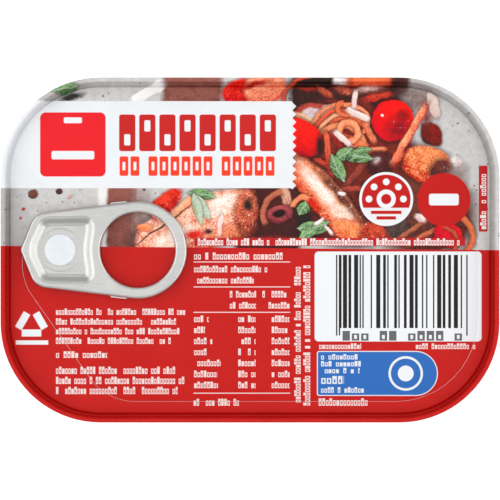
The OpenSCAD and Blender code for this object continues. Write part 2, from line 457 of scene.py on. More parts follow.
def make_leaf_group():
    """A herb leaf: pointed at both ends, with a pale rib and side veins."""
    group, given, out = new_group(
        "Herb leaf", PLACED + SHADED + [("Half", "vector", (1, 1, 1))], [("Colour", "colour")],
    )
    x, y, z = parts_of(group, vector(group, "DIVIDE", turn_about(group, given), given["Half"]))
    apart = maths(group, "ABSOLUTE", y)
    reach = maths(group, "ADD", times(group, x, x), apart)
    mask = spread(group, reach, 1.08, 0.92)
    veins = maths(group, "SINE", maths(group, "MULTIPLY_ADD", apart, 6.0, times(group, x, 11.0)))
    rib = spread(group, apart, 0.14, 0.02, 0.0, 0.7)
    pale = maths(group, "MAXIMUM", rib, spread(group, veins, 0.8, 1.0, 0.0, 0.35))
    shade = maths(group, "MULTIPLY_ADD", y, -0.3, 0.45)
    shade = maths(group, "MULTIPLY_ADD", given["Grain"], 0.9, shade, clamp=True)
    colour = blend_colours(group, shade, given["Light"], given["Dark"])
    colour = blend_colours(group, pale, colour, ink(205, 212, 200))
    halo = spread(group, reach, 1.5, 1.0, 0.0, 0.5)
    ground = blend_colours(group, halo, given["Under"], ink(40, 34, 30))
    feed(group, out["Colour"], blend_colours(group, mask, ground, colour))
    return group


def make_words_group():
    """Lines of small print that say nothing: strokes of letter size, set in words.
    Row 0 hangs from Top, and the rows end up to Ragged short of Right."""
    group, given, out = new_group(
        "Blank print",
        PRINTED_OVER + [
            ("Ink", "colour", (1, 1, 1, 1)), ("Left", "value", 0.0), ("Right", "value", 1.0),
            ("Ragged", "value", 0.0), ("Top", "value", 0.0), ("Pitch", "value", 2.0),
            ("Rows", "value", 1.0), ("Height", "value", 1.3), ("Letter", "value", 0.8),
            ("Seed", "value", 0.0), ("Strength", "value", 0.9),
        ],
        [("Colour", "colour")],
    )
    x, y, z = parts_of(group, after_under(group, given))
    down = maths(group, "DIVIDE", maths(group, "SUBTRACT", given["Top"], y), given["Pitch"])
    row = maths(group, "FLOOR", down)
    drop = times(group, maths(group, "FRACT", down), given["Pitch"])
    level = maths(group, "DIVIDE", drop, given["Height"])
    last_row = maths(group, "SUBTRACT", given["Rows"], 0.5)
    in_rows = times(group, maths(group, "GREATER_THAN", row, -0.5), maths(group, "LESS_THAN", row, last_row))
    over = maths(group, "DIVIDE", maths(group, "SUBTRACT", x, given["Left"]), given["Letter"])
    letter = maths(group, "FLOOR", over)
    inside = maths(group, "ABSOLUTE", maths(group, "SUBTRACT", maths(group, "FRACT", over), 0.5))
    picks = group.nodes.new("ShaderNodeSeparateColor")
    feed(group, picks.inputs[0], chance_at(group, letter, row, given["Seed"])["Color"])
    gap = maths(group, "LESS_THAN", picks.outputs[0], 0.15)
    roof = times(group, maths(group, "LESS_THAN", picks.outputs[1], 0.6), 0.26)
    tall = times(group, maths(group, "GREATER_THAN", level, roof), maths(group, "LESS_THAN", level, 1.0))
    stroke = maths(group, "LESS_THAN", inside, 0.4)
    middle = maths(group, "ABSOLUTE", maths(group, "SUBTRACT", level, 0.62))
    eye = times(group, maths(group, "LESS_THAN", inside, 0.15), maths(group, "LESS_THAN", middle, 0.2))
    eye = times(group, eye, maths(group, "GREATER_THAN", picks.outputs[2], 0.25))
    short = times(group, given["Ragged"], chance_at(group, row, given["Seed"], 0.0)["Value"])
    in_row = times(group, maths(group, "LESS_THAN", x, maths(group, "SUBTRACT", given["Right"], short)),
                   maths(group, "GREATER_THAN", x, given["Left"]))
    mask = times(group, times(group, in_rows, in_row), times(group, tall, stroke))
    mask = times(group, mask, maths(group, "SUBTRACT", 1.0, gap), maths(group, "SUBTRACT", 1.0, eye))
    mask = times(group, mask, given["Strength"])
    feed(group, out["Colour"], blend_colours(group, mask, given["Under"], given["Ink"]))
    return group


def make_lacquer_group():
    """Clear lacquer over ink: a little rolled grain in its tone, gloss and surface."""
    group, given, out = new_group(
        "Lacquered ink",
        [("Colour", "colour", (1, 1, 1, 1)), ("Point", "vector", (0, 0, 0))],
        [("Colour", "colour"), ("Roughness", "value"), ("Height", "value")],
    )
    grain = noise(group, given["Point"], 9.0, 3.0)
    tinted = vector(group, "SCALE", given["Colour"])
    feed(group, tinted.node.inputs["Scale"], spread(group, grain, 0.25, 0.75, 0.955, 1.03))
    feed(group, out["Colour"], tinted)
    gloss = noise(group, given["Point"], 0.4)
    feed(group, out["Roughness"], spread(group, gloss, 0.3, 0.7, 0.3, 0.4))
    feed(group, out["Height"], grain)
    return group


ink_mark = make_ink_mark_group()
food_piece = make_food_piece_group()
noodle = make_noodle_group()
herb_leaf = make_leaf_group()
blank_print = make_words_group()
lacquered_ink = make_lacquer_group()

RED = ink(194, 25, 21)
PAPER_WHITE = ink(236, 238, 240)
TEXT_WHITE = ink(246, 226, 222)


def finish_print(tree, shader, colour, point):
    """Clear lacquer over the ink, which gives it a soft gloss."""
    coat = use_group(tree, lacquered_ink, colour=colour, point=point)
    feed(tree, shader.inputs["Base Color"], coat["Colour"])
    feed(tree, shader.inputs["Roughness"], coat["Roughness"])
    shader.inputs["Specular IOR Level"].default_value = 0.12
    shader.inputs["Coat Weight"].default_value = 0.05
    shader.inputs["Coat Roughness"].default_value = 0.15
    bump(tree, shader, coat["Height"], 0.004 * MM)


def turn_upright(tree, point):
    """The point turned a quarter, for print that runs up the lid."""
    step = tree.nodes.new("ShaderNodeVectorRotate")
    step.rotation_type = "Z_AXIS"
    step.inputs["Angle"].default_value = -math.pi / 2
    feed(tree, step.inputs["Vector"], point)
    return step.outputs[0]


def lay_marks(tree, point, colour, marks):
    """Prints marks over a colour: x, y, half length, half height, turn, corner, ink."""
    for x, y, half_x, half_y, turn, corner, shade in marks:
        colour = use_group(
            tree, ink_mark, under=colour, ink=shade, point=point, centre=(x, y, 0),
            half=(half_x, half_y, 9), turn=turn, corner=corner,
        )["Colour"]
    return colour


def lay_words(tree, point, colour, shade, blocks):
    """Prints blank lines: left, right, ragged, top, pitch, rows, height, letter, seed."""
    for left, right, ragged, top, pitch, rows, height, letter, seed in blocks:
        colour = use_group(
            tree, blank_print, under=colour, ink=shade, point=point, left=left, right=right, ragged=ragged,
            top=top, pitch=pitch, rows=rows, height=height, letter=letter, seed=seed,
        )["Colour"]
    return colour


# The lower panel is red, with blank lines where the small print goes, a mark of
# three bars, a table, a bar code that codes nothing and a plain blue badge.
red_print, tree, shader = new_material("printed red panel")
point = place_in_mm(tree)
colour = blend_colours(tree, spread(tree, noise(tree, point, 0.15), 0.35, 0.65), RED, ink(198, 28, 23))
colour = lay_words(tree, point, colour, TEXT_WHITE, [
    (-41.8, -13.3, 0.6, -12.6, 2.07, 1, 1.35, 0.62, 1),
    (-41.8, -14.6, 3.6, -14.7, 2.07, 3, 1.35, 0.62, 2),
    (-41.8, -30.7, 0.0, -21.8, 2.0, 1, 1.4, 0.82, 3),
    (-41.8, -13.9, 2.2, -25.1, 2.17, 3, 1.55, 0.66, 4),
    (-12.1, 7.0, 0.0, -0.55, 2.0, 1, 1.5, 0.8, 5),
    (-12.1, 4.1, 0.0, -3.4, 2.0, 1, 1.4, 0.66, 6),
    (-12.1, 0.8, 0.0, -5.8, 2.0, 1, 1.4, 0.66, 7),
    (-4.4, 1.3, 0.0, -8.8, 2.4, 2, 1.4, 0.66, 8),
    (2.6, 8.6, 0.0, -8.8, 2.4, 2, 1.4, 0.66, 9),
    (-12.1, -6.2, 3.6, -14.1, 2.37, 7, 1.4, 0.7, 10),
    (-2.6, 1.2, 0.0, -14.1, 2.37, 7, 1.4, 0.7, 12),
    (4.6, 8.5, 0.0, -14.1, 2.37, 7, 1.4, 0.7, 13),
    (-12.2, -2.4, 0.0, -32.0, 2.0, 1, 1.5, 0.66, 14),
    (14.8, 23.9, 0.0, -20.1, 2.0, 1, 1.2, 0.68, 15),
    (35.6, 48.5, 0.0, -20.1, 2.0, 1, 1.2, 0.68, 16),
    (14.7, 25.7, 0.0, -31.9, 2.0, 1, 1.6, 0.76, 17),
])
colour = lay_words(tree, turn_upright(tree, point), colour, TEXT_WHITE, [
    (-33.5, -2.8, 1.5, -9.5, 2.0, 1, 1.4, 0.68, 18),
    (-33.5, -2.6, 1.5, -11.45, 2.0, 1, 1.5, 0.72, 19),
])
BLUE = ink(48, 108, 185)
colour = lay_marks(tree, point, colour, [
    (-1.75, -2.57, 10.4, 0.09, 0, 0.05, TEXT_WHITE), (-1.75, -7.94, 10.4, 0.09, 0, 0.05, TEXT_WHITE),
    (-1.75, -13.4, 10.4, 0.09, 0, 0.05, TEXT_WHITE), (-1.75, -30.8, 10.4, 0.09, 0, 0.05, TEXT_WHITE),
    (-48.9, -15.2, 1.9, 0.8, 60, 0.15, PAPER_WHITE), (-45.1, -15.2, 1.9, 0.8, -60, 0.15, PAPER_WHITE),
    (-47.0, -17.85, 2.1, 0.75, 0, 0.15, PAPER_WHITE), (-46.9, -19.9, 3.5, 0.45, 0, 0.12, PAPER_WHITE),
    (31.85, -10.0, 17.95, 9.67, 0, 0.86, PAPER_WHITE),
    (24.0, -26.55, 9.6, 4.82, 0, 0.5, PAPER_WHITE), (33.7, -26.55, 6.7, 4.82, 0, 4.8, PAPER_WHITE),
    (24.0, -26.55, 9.4, 4.64, 0, 0.35, BLUE), (33.7, -26.55, 6.5, 4.64, 0, 4.6, BLUE),
    (33.5, -26.55, 3.7, 3.7, 0, 3.7, PAPER_WHITE), (33.5, -26.55, 3.2, 3.2, 0, 3.2, BLUE),
    (33.5, -26.55, 1.7, 1.7, 0, 1.7, PAPER_WHITE),
])
colour = lay_words(tree, point, colour, PAPER_WHITE, [
    (15.2, 24.0, 1.2, -22.4, 1.48, 3, 1.15, 0.8, 20),
    (15.2, 20.2, 0.0, -27.1, 2.0, 1, 1.7, 1.2, 21),
    (15.2, 24.8, 0.0, -29.5, 2.0, 1, 1.2, 0.72, 22),
])
BARS_LEFT = 18.5
BAR_UNIT = 0.298
BAR_COUNT = 95
parts = parts_of(tree, point)
bar_place = maths(tree, "DIVIDE", maths(tree, "SUBTRACT", parts[0], BARS_LEFT), BAR_UNIT)
bar_number = maths(tree, "FLOOR", bar_place)
bar_chance = tree.nodes.new("ShaderNodeTexWhiteNoise")
bar_chance.noise_dimensions = "1D"
feed(tree, bar_chance.inputs["W"], bar_number)
bars = maths(tree, "GREATER_THAN", bar_chance.outputs["Value"], 0.38)
bars = times(tree, bars, maths(tree, "GREATER_THAN", maths(tree, "FLOORED_MODULO", bar_number, 4.0), 0.5))
guards = maths(tree, "LESS_THAN", maths(tree, "PINGPONG", bar_number, BAR_COUNT / 2), 2.9)
guard_bars = times(tree, guards, maths(tree, "LESS_THAN", maths(tree, "MODULO", bar_number, 2.0), 0.5))
bars = times(tree, bars, maths(tree, "SUBTRACT", 1.0, guards))
bars = maths(tree, "MAXIMUM", bars, guard_bars)
foot = maths(tree, "MULTIPLY_ADD", guards, -1.6, -16.8)
tall = times(tree, maths(tree, "GREATER_THAN", parts[1], foot), maths(tree, "LESS_THAN", parts[1], -1.05))
wide = times(tree, maths(tree, "GREATER_THAN", bar_number, -0.5),
             maths(tree, "LESS_THAN", bar_number, BAR_COUNT - 0.5))
bars = times(tree, bars, times(tree, tall, wide))
colour = blend_colours(tree, bars, colour, ink(38, 34, 33))
colour = lay_words(tree, point, colour, ink(70, 66, 65), [
    (19.7, 31.9, 0.0, -17.4, 3.0, 1, 2.1, 2.0, 25),
    (33.8, 45.9, 0.0, -17.4, 3.0, 1, 2.1, 2.0, 28),
])
finish_print(tree, shader, colour, point)

# The white band carries blank blocks where a title goes, and a plain red badge.
BAND_LOW, BAND_TOP, BAND_END = 13.3, 32.04, 9.1
white_print, tree, shader = new_material("printed white band")
point = place_in_mm(tree)
clouds = spread(tree, noise(tree, point, 0.2), 0.35, 0.65)
colour = blend_colours(tree, clouds, PAPER_WHITE, ink(232, 234, 236))
TITLE_RED, SUBTITLE_RED = ink(200, 36, 33), ink(250, 65, 40)
TITLE_Y, TITLE_PITCH = 25.2, 4.32
SUBTITLE_Y, SUBTITLE_PITCH, WORD_GAP = 18.05, 2.37, 1.5
title = []
for i in range(8):
    x = -26.4 + TITLE_PITCH * i
    hole_y = TITLE_Y + (1.5 if i % 2 else -1.5)
    title.append((x, TITLE_Y, 1.75, 3.95, 0, 0.55, TITLE_RED))
    title.append((x, hole_y, 0.65, 1.2, 0, 0.3, PAPER_WHITE))
x = -27.12
for letters in (2, 6, 5):
    for i in range(letters):
        title.append((x, SUBTITLE_Y, 0.95, 2.1, 0, 0.35, SUBTITLE_RED))
        title.append((x, SUBTITLE_Y, 0.3, 0.9, 0, 0.15, PAPER_WHITE))
        x += SUBTITLE_PITCH
    x += WORD_GAP
colour = lay_marks(tree, point, colour, [
    (-38.1, 22.7, 7.05, 6.9, 0, 1.2, ink(235, 32, 40)),
    (-38.1, 27.9, 1.95, 0.62, 0, 0.3, PAPER_WHITE),
    (-38.1, 20.4, 4.6, 0.9, 0, 0.4, PAPER_WHITE),
] + title)
finish_print(tree, shader, colour, point)

# The upper panel shows a dish of food on grey stone, as fields of colour.
picture_print, tree, shader = new_material("printed picture")
point = place_in_mm(tree)
drift = vector(tree, "SUBTRACT", noise(tree, point, 0.3, 2.0, colour=True), (0.5, 0.5, 0.5))
ripple = vector(tree, "SUBTRACT", noise(tree, point, 2.2, 2.0, colour=True), (0.5, 0.5, 0.5))
loose = vector(tree, "ADD", point, vector(tree, "MULTIPLY", drift, (1.2, 1.2, 0)))
loose = vector(tree, "ADD", loose, vector(tree, "MULTIPLY", ripple, (0.22, 0.22, 0)))
fine = maths(tree, "SUBTRACT", noise(tree, point, 2.6, 4.0), 0.5)
coarse = maths(tree, "SUBTRACT", noise(tree, point, 0.7, 2.0), 0.5)
grain = maths(tree, "MULTIPLY_ADD", fine, 2.3, times(tree, coarse, 1.5))

stone = blend_colours(tree, spread(tree, coarse, -0.25, 0.25), ink(213, 211, 208), ink(196, 194, 192))
stone = blend_colours(tree, spread(tree, fine, 0.12, 0.3, 0.0, 0.5), stone, ink(150, 140, 136))
parts = parts_of(tree, point)
# Painted shade: the stone is darkened towards the lid's left rim, where the rim would shade it.
painted_rim_shade = spread(tree, parts[0], -47.0, -51.5, 0.0, 0.4)
stone = blend_colours(tree, painted_rim_shade, stone, ink(150, 146, 146))
cracks = tree.nodes.new("ShaderNodeTexVoronoi")
feed(tree, cracks.inputs["Vector"], loose)
cracks.inputs["Scale"].default_value = 0.8
specks = spread(tree, cracks.outputs["Distance"], 0.2, 0.12, 0.0, 0.8)
chance = tree.nodes.new("ShaderNodeSeparateColor")
feed(tree, chance.inputs[0], cracks.outputs["Color"])
specks = times(tree, specks, maths(tree, "GREATER_THAN", chance.outputs[0], 0.64))
colour = blend_colours(tree, specks, stone, ink(105, 80, 76))

CREAM, PASTA, PASTA_DARK = ink(250, 238, 226), ink(240, 168, 118), ink(176, 84, 52)
SAUCE, SAUCE_DARK = ink(240, 92, 52), ink(172, 36, 24)
TOMATO = ink(255, 92, 54)
CHAR, BROWN_DARK = ink(64, 46, 40), ink(66, 36, 32)
CHEESE, CHEESE_DARK = ink(244, 232, 226), ink(222, 186, 176)
GREEN, GREEN_DARK = ink(140, 186, 124), ink(52, 84, 58)
PALE_GREEN, WHITE = ink(206, 214, 200), ink(246, 244, 242)
TAN, TAN_DARK = ink(166, 116, 100), ink(122, 74, 62)

# x, y, half length, half width, turn, squareness, softness, shadow, light, dark, mottle
DISH = [
    (-31.6, 7, 1.0, 7.5, 0, 8, 0.5, 0.0, WHITE, ink(224, 220, 218), 0.4),
    (-27.6, 7, 3.2, 7.5, 0, 8, 0.35, 0.0, ink(162, 110, 94), ink(124, 76, 64), 0.7),
    (-23.9, 7, 1.7, 7.5, 0, 3, 1.6, 0.0, ink(176, 150, 144), ink(140, 108, 100), 0.7),
    (-44.5, 34.0, 9.0, 3.2, 28, 3, 1.2, 0.0, ink(206, 204, 202), ink(178, 174, 172), 0.5),
    (-38.4, 32.9, 2.6, 0.7, 18, 2, 0.3, 0.0, ink(62, 60, 56), ink(48, 46, 44), 0.4),
    (-12.4, 34.0, 6.4, 4.6, 0, 7, 0.5, 0.0, TAN, TAN_DARK, 0.8),
    (-22.0, 33.8, 4.2, 1.1, 32, 6, 0.2, 0.2, WHITE, ink(226, 224, 222), 0.3),
    (19.0, 16.5, 16.5, 15.5, -14, 2.6, 0.8, 0.2, ink(140, 66, 44), BROWN_DARK, 0.9),
    (37.5, 7.5, 11.0, 8.5, 0, 2.6, 1.2, 0.1, ink(128, 76, 56), ink(72, 42, 36), 1.0),
    (3.8, 6.5, 7.5, 8.0, 0, 4, 0.5, 0.1, ink(92, 50, 42), ink(54, 32, 30), 0.8),
    (20.5, 33.9, 12.0, 4.4, 0, 5, 0.3, 0.1, ink(86, 50, 40), ink(46, 34, 32), 0.9),
    (-2.6, 34.0, 3.4, 2.6, 20, 2.4, 0.3, 0.3, SAUCE, SAUCE_DARK, 1.0),
    (3.2, 34.6, 4.6, 2.9, 12, 3, 0.3, 0.3, ink(250, 186, 146), ink(206, 96, 56), 1.0),
    (0.9, 35.6, 3.2, 0.5, 14, 2.5, 0.3, 0.0, ink(214, 80, 46), ink(150, 50, 34), 0.8),
    (14.6, 36.3, 3.4, 0.7, 0, 4, 0.2, 0.0, ink(60, 42, 38), ink(40, 34, 32), 0.5),
    (12.4, 34.6, 2.1, 0.42, -6, 2.4, 0.2, 0.0, ink(182, 78, 54), ink(120, 50, 38), 1.0),
    (16.0, 33.9, 2.0, 0.7, -38, 2.4, 0.3, 0.0, ink(218, 124, 84), ink(140, 66, 48), 1.0),
    (20.2, 34.3, 2.2, 0.9, -10, 2.4, 0.5, 0.0, ink(206, 116, 84), ink(112, 56, 44), 1.2),
    (25.6, 34.6, 2.8, 0.8, 8, 2.2, 0.5, 0.0, ink(224, 206, 200), ink(170, 110, 92), 1.2),
    (27.5, 32.9, 4.0, 0.8, 14, 2.4, 0.3, 0.0, ink(216, 100, 66), ink(136, 52, 38), 1.0),
    (19.4, 31.7, 3.6, 0.5, -4, 2.4, 0.4, 0.0, ink(150, 70, 50), ink(90, 46, 38), 1.0),
    (19.4, 36.4, 1.5, 0.75, 0, 4, 0.2, 0.0, WHITE, ink(220, 214, 210), 0.4),
    (25.7, 36.2, 4.8, 0.85, 0, 6, 0.25, 0.0, ink(250, 156, 98), ink(226, 104, 62), 0.7),
    (32.4, 35.6, 1.9, 2.6, 0, 3, 0.6, 0.0, ink(92, 56, 48), ink(58, 44, 42), 0.7),
    (36.2, 32.6, 3.4, 2.6, -20, 2.2, 1.6, 0.0, ink(160, 142, 138), ink(120, 92, 86), 1.0),
    (14.1, 28.0, 4.7, 3.6, -8, 2.2, 0.2, 0.2, ink(196, 104, 80), ink(136, 58, 44), 0.6),
    (14.1, 27.6, 3.7, 2.9, -8, 2.2, 0.2, 0.0, ink(222, 204, 202), ink(182, 160, 158), 1.0),
    (24.6, 29.5, 4.0, 2.6, -30, 2.4, 0.6, 0.2, ink(132, 62, 46), ink(70, 40, 34), 0.8),
    (17.2, 29.0, 2.0, 2.2, 12, 3, 0.2, 0.5, CREAM, CHEESE_DARK, 0.6),
    (12.8, 27.9, 3.6, 0.75, -22, 3, 0.15, 0.4, ink(252, 214, 176), PASTA, 0.7),
]

# x, y, radius, half width, turn, half angle, light, dark
CURLS = [
    (12.6, 31.6, 5.4, 0.45, 150, 62, ink(214, 110, 74), ink(140, 60, 42)),
    (24.0, 31.0, 8.6, 0.5, 236, 30, PASTA, PASTA_DARK),
    (24.0, 31.0, 7.3, 0.45, 232, 34, ink(224, 120, 80), ink(150, 66, 44)),
    (20.5, 22.5, 8.8, 0.5, 116, 44, PASTA, PASTA_DARK),
    (20.5, 22.5, 7.6, 0.48, 108, 52, ink(236, 126, 80), ink(160, 66, 40)),
    (20.5, 22.5, 6.4, 0.5, 112, 60, ink(252, 196, 148), PASTA_DARK),
    (20.9, 23.0, 5.2, 0.48, 96, 74, ink(238, 136, 86), ink(168, 72, 46)),
    (22.6, 27.8, 2.9, 0.45, 40, 100, ink(248, 180, 130), ink(196, 96, 60)),
    (14.2, 15.8, 3.4, 0.5, 20, 80, ink(206, 100, 66), ink(130, 56, 40)),
    (16.6, 20.6, 4.2, 0.62, 200, 95, ink(196, 96, 70), ink(120, 50, 40)),
    (19.4, 21.2, 5.5, 0.66, 100, 88, PASTA, PASTA_DARK),
    (20.2, 30.4, 1.3, 0.55, 200, 110, ink(236, 146, 98), PASTA_DARK),
]
TOP_PIECES = [
    (10.3, 24.1, 5.3, 4.1, -22, 2.2, 0.15, 0.7, TOMATO, ink(176, 44, 32), 0.5),
    (14.9, 22.3, 0.8, 2.2, -4, 2.4, 0.4, 0.0, ink(70, 40, 36), ink(50, 32, 30), 0.4),
    (16.7, 21.8, 0.62, 3.7, 5, 5, 0.12, 0.6, ink(236, 134, 92), ink(176, 76, 52), 0.8),
    (18.7, 23.2, 2.4, 0.55, -54, 5, 0.12, 0.4, ink(176, 72, 54), ink(116, 44, 36), 0.8),
    (25.6, 25.4, 2.6, 0.66, -62, 5, 0.12, 0.5, ink(244, 170, 120), ink(204, 100, 68), 0.8),
    (23.3, 23.0, 2.3, 0.8, -28, 5, 0.15, 0.5, ink(248, 162, 110), ink(214, 104, 66), 0.8),
    (26.9, 21.3, 2.4, 0.95, 12, 2.2, 0.15, 0.6, ink(248, 170, 120), ink(206, 104, 66), 0.7),
    (28.0, 18.8, 2.9, 2.5, -10, 2.4, 0.3, 0.5, ink(104, 56, 48), ink(52, 30, 28), 0.9),
    (27.2, 19.2, 0.8, 0.7, 20, 2.0, 0.5, 0.0, ink(214, 206, 204), ink(150, 120, 116), 0.8),
    (22.8, 16.4, 3.6, 0.75, 52, 5, 0.15, 0.4, ink(170, 92, 70), ink(104, 52, 42), 0.7),
    (25.8, 13.6, 3.4, 1.6, 40, 3, 0.3, 0.3, ink(88, 48, 40), ink(48, 32, 30), 0.6),
    (21.6, 13.0, 2.6, 0.6, 4, 4, 0.15, 0.4, ink(196, 104, 76), ink(126, 60, 46), 0.8),
    (39.0, 24.9, 3.0, 2.3, -52, 1.5, 0.2, 0.4, ink(150, 58, 36), ink(66, 34, 30), 0.8),
    (38.0, 28.6, 1.2, 2.0, -10, 2.0, 0.9, 0.0, ink(150, 96, 84), ink(116, 64, 54), 0.8),
    (39.5, 31.2, 1.15, 3.1, 16, 2.2, 0.15, 0.55, ink(236, 220, 210), ink(206, 180, 168), 0.6),
    (30.7, 27.9, 4.5, 4.6, -45, 2.0, 0.12, 0.7, TOMATO, ink(206, 52, 38), 0.35),
    (32.2, 26.4, 2.6, 2.2, 20, 2.0, 1.3, 0.0, ink(176, 52, 40), ink(120, 34, 28), 1.2),
    (33.0, 29.2, 1.0, 0.9, 0, 2.0, 0.7, 0.0, ink(170, 52, 40), ink(126, 38, 30), 1.0),
    (28.4, 29.0, 0.3, 0.25, 0, 2.0, 0.12, 0.0, WHITE, WHITE, 0.0),
    (34.4, 25.0, 7.2, 0.78, 61, 6, 0.15, 0.6, ink(248, 190, 142), ink(222, 96, 62), 0.9),
    (32.0, 20.4, 1.6, 1.1, 58, 2.4, 0.15, 0.2, ink(244, 160, 116), ink(212, 84, 56), 0.8),
    (38.0, 18.4, 5.0, 3.9, -14, 2.4, 0.3, 0.6, ink(252, 178, 116), ink(196, 66, 34), 1.2),
    (41.0, 17.2, 2.4, 2.6, -30, 2.2, 0.8, 0.0, ink(126, 70, 56), ink(60, 40, 38), 1.2),
    (43.9, 15.2, 2.2, 3.0, -30, 2.0, 1.6, 0.0, ink(150, 128, 122), ink(112, 88, 84), 0.8),
    (44.4, 19.0, 1.3, 0.9, -30, 2.2, 0.5, 0.0, ink(240, 230, 226), ink(196, 170, 162), 1.2),
    (7.7, 11.2, 1.0, 2.6, 16, 4, 0.2, 0.4, ink(226, 186, 158), ink(176, 116, 90), 0.8),
    (16.6, 10.9, 10.6, 3.5, -49, 2.8, 0.25, 0.8, ink(250, 176, 124), ink(206, 88, 48), 1.2),
    (19.9, 11.0, 7.8, 1.0, -50, 3, 0.5, 0.0, ink(146, 92, 70), CHAR, 1.4),
    (15.2, 12.6, 7.6, 1.35, -52, 2.2, 0.7, 0.0, ink(254, 246, 238), ink(242, 196, 160), 1.1),
    (13.6, 9.9, 2.0, 0.9, -40, 2.0, 0.5, 0.0, ink(232, 96, 52), ink(186, 64, 36), 1.2),
    (20.0, 7.6, 2.6, 1.6, -40, 2.0, 0.8, 0.0, ink(254, 236, 218), ink(238, 170, 130), 1.2),
    (20.9, 4.3, 3.4, 2.2, -20, 2.2, 0.5, 0.2, ink(250, 178, 118), ink(216, 104, 58), 1.2),
    (27.0, 3.6, 3.6, 2.2, -14, 2.2, 0.5, 0.1, ink(222, 110, 70), ink(136, 56, 38), 1.4),
    (31.8, 4.6, 2.6, 2.4, 10, 2.2, 0.7, 0.2, ink(104, 84, 76), ink(54, 48, 46), 1.1),
    (35.0, 4.4, 4.2, 0.5, 34, 5, 0.15, 0.4, ink(196, 128, 92), ink(122, 70, 52), 0.8),
    (37.2, 3.0, 4.4, 0.5, 30, 5, 0.15, 0.4, ink(214, 134, 92), ink(140, 76, 54), 0.8),
    (36.6, 6.9, 1.4, 0.8, -20, 2.2, 0.2, 0.4, ink(244, 230, 228), ink(206, 170, 164), 0.8),
    (42.6, 3.4, 3.1, 2.6, -30, 2.4, 0.15, 0.5, ink(240, 72, 52), ink(170, 38, 28), 0.6),
    (11.9, 5.8, 1.6, 3.2, 20, 2.4, 0.5, 0.0, ink(56, 46, 42), ink(34, 30, 28), 0.5),
    (6.25, 7.7, 2.9, 1.9, 8, 2.2, 0.15, 0.6, ink(186, 98, 92), ink(104, 40, 42), 0.8),
    (6.2, 7.95, 1.35, 0.8, 8, 2.2, 0.2, 0.0, ink(52, 30, 28), ink(34, 22, 20), 0.4),
    (3.0, 1.9, 6.0, 1.0, 4, 3, 0.4, 0.0, ink(140, 62, 44), ink(70, 38, 34), 1.2),
    (-11.5, 5.2, 13.6, 5.6, 22, 2.6, 0.25, 0.6, ink(254, 216, 186), ink(216, 92, 48), 1.3),
    (-16.2, 2.6, 5.6, 2.0, 24, 2.2, 0.9, 0.0, ink(255, 244, 232), ink(246, 196, 160), 1.2),
    (-6.0, 9.6, 3.6, 2.2, 30, 2.2, 0.9, 0.0, ink(255, 246, 238), ink(242, 196, 164), 1.4),
    (-18.2, 10.2, 4.4, 2.0, 40, 2.4, 0.25, 0.3, ink(244, 108, 66), SAUCE_DARK, 1.3),
    (-14.4, 9.4, 3.6, 0.85, 44, 3, 0.2, 0.2, ink(252, 204, 162), ink(236, 144, 96), 0.8),
    (-18.9, 5.2, 7.6, 0.17, 36, 8, 0.1, 0.0, ink(96, 56, 46), ink(70, 42, 36), 0.5),
    (-22.6, 4.6, 1.7, 0.8, -8, 3, 0.2, 0.4, ink(250, 186, 136), ink(226, 128, 76), 0.7),
    (-19.9, 6.9, 1.3, 0.9, -40, 2.2, 0.3, 0.0, ink(240, 196, 188), ink(214, 72, 50), 1.3),
    (-12.0, 3.4, 2.2, 1.0, 10, 2.0, 0.5, 0.0, ink(236, 98, 60), ink(206, 64, 40), 1.3),
    (-5.2, 3.2, 5.4, 1.9, 18, 2.2, 0.8, 0.0, ink(238, 162, 116), ink(180, 92, 58), 1.4),
    (-1.0, 8.2, 2.4, 4.8, -4, 2.2, 0.6, 0.0, ink(228, 136, 96), ink(126, 62, 44), 1.5),
    (-0.5, 9.8, 1.0, 1.5, 10, 2.0, 0.5, 0.0, CHAR, ink(50, 36, 34), 0.8),
    (-9.0, 3.9, 0.7, 0.5, 0, 2.0, 0.3, 0.0, CHAR, CHAR, 0.6),
    (-6.4, 5.3, 0.5, 2.5, -6, 4, 0.12, 0.5, ink(248, 230, 222), ink(230, 190, 172), 0.5),
    (-46.6, 12.0, 1.0, 0.85, 20, 2.2, 0.15, 0.6, ink(136, 92, 72), ink(70, 46, 40), 1.0),
    (-41.0, 12.75, 0.65, 0.6, 0, 2.2, 0.12, 0.5, ink(96, 66, 54), ink(62, 44, 40), 0.8),
    (-38.8, 11.4, 0.55, 0.4, 30, 2.2, 0.12, 0.3, ink(226, 190, 180), ink(180, 130, 116), 0.6),
    (-48.8, 8.9, 0.4, 0.35, 0, 2.0, 0.15, 0.0, ink(190, 70, 50), ink(120, 50, 40), 0.6),
    (-49.3, 7.0, 0.3, 0.25, 0, 2.0, 0.15, 0.0, ink(210, 70, 50), ink(160, 60, 44), 0.6),
    (-22.7, 13.0, 0.3, 0.25, 0, 2.0, 0.12, 0.0, CHAR, CHAR, 0.2),
]
TOP_CURLS = [
    (21.2, 25.4, 2.0, 0.68, 0, 190, ink(250, 184, 134), ink(214, 110, 66)),
    (11.4, 9.1, 2.2, 0.6, 115, 62, ink(242, 168, 118), ink(196, 96, 60)),
    (7.7, 7.7, 4.9, 0.7, 152, 52, ink(200, 130, 98), ink(140, 76, 56)),
    (43.6, 2.9, 4.3, 0.68, 12, 72, ink(226, 142, 94), ink(150, 80, 54)),
    (41.2, 1.8, 3.2, 0.5, 20, 60, ink(206, 110, 76), ink(140, 66, 48)),
]

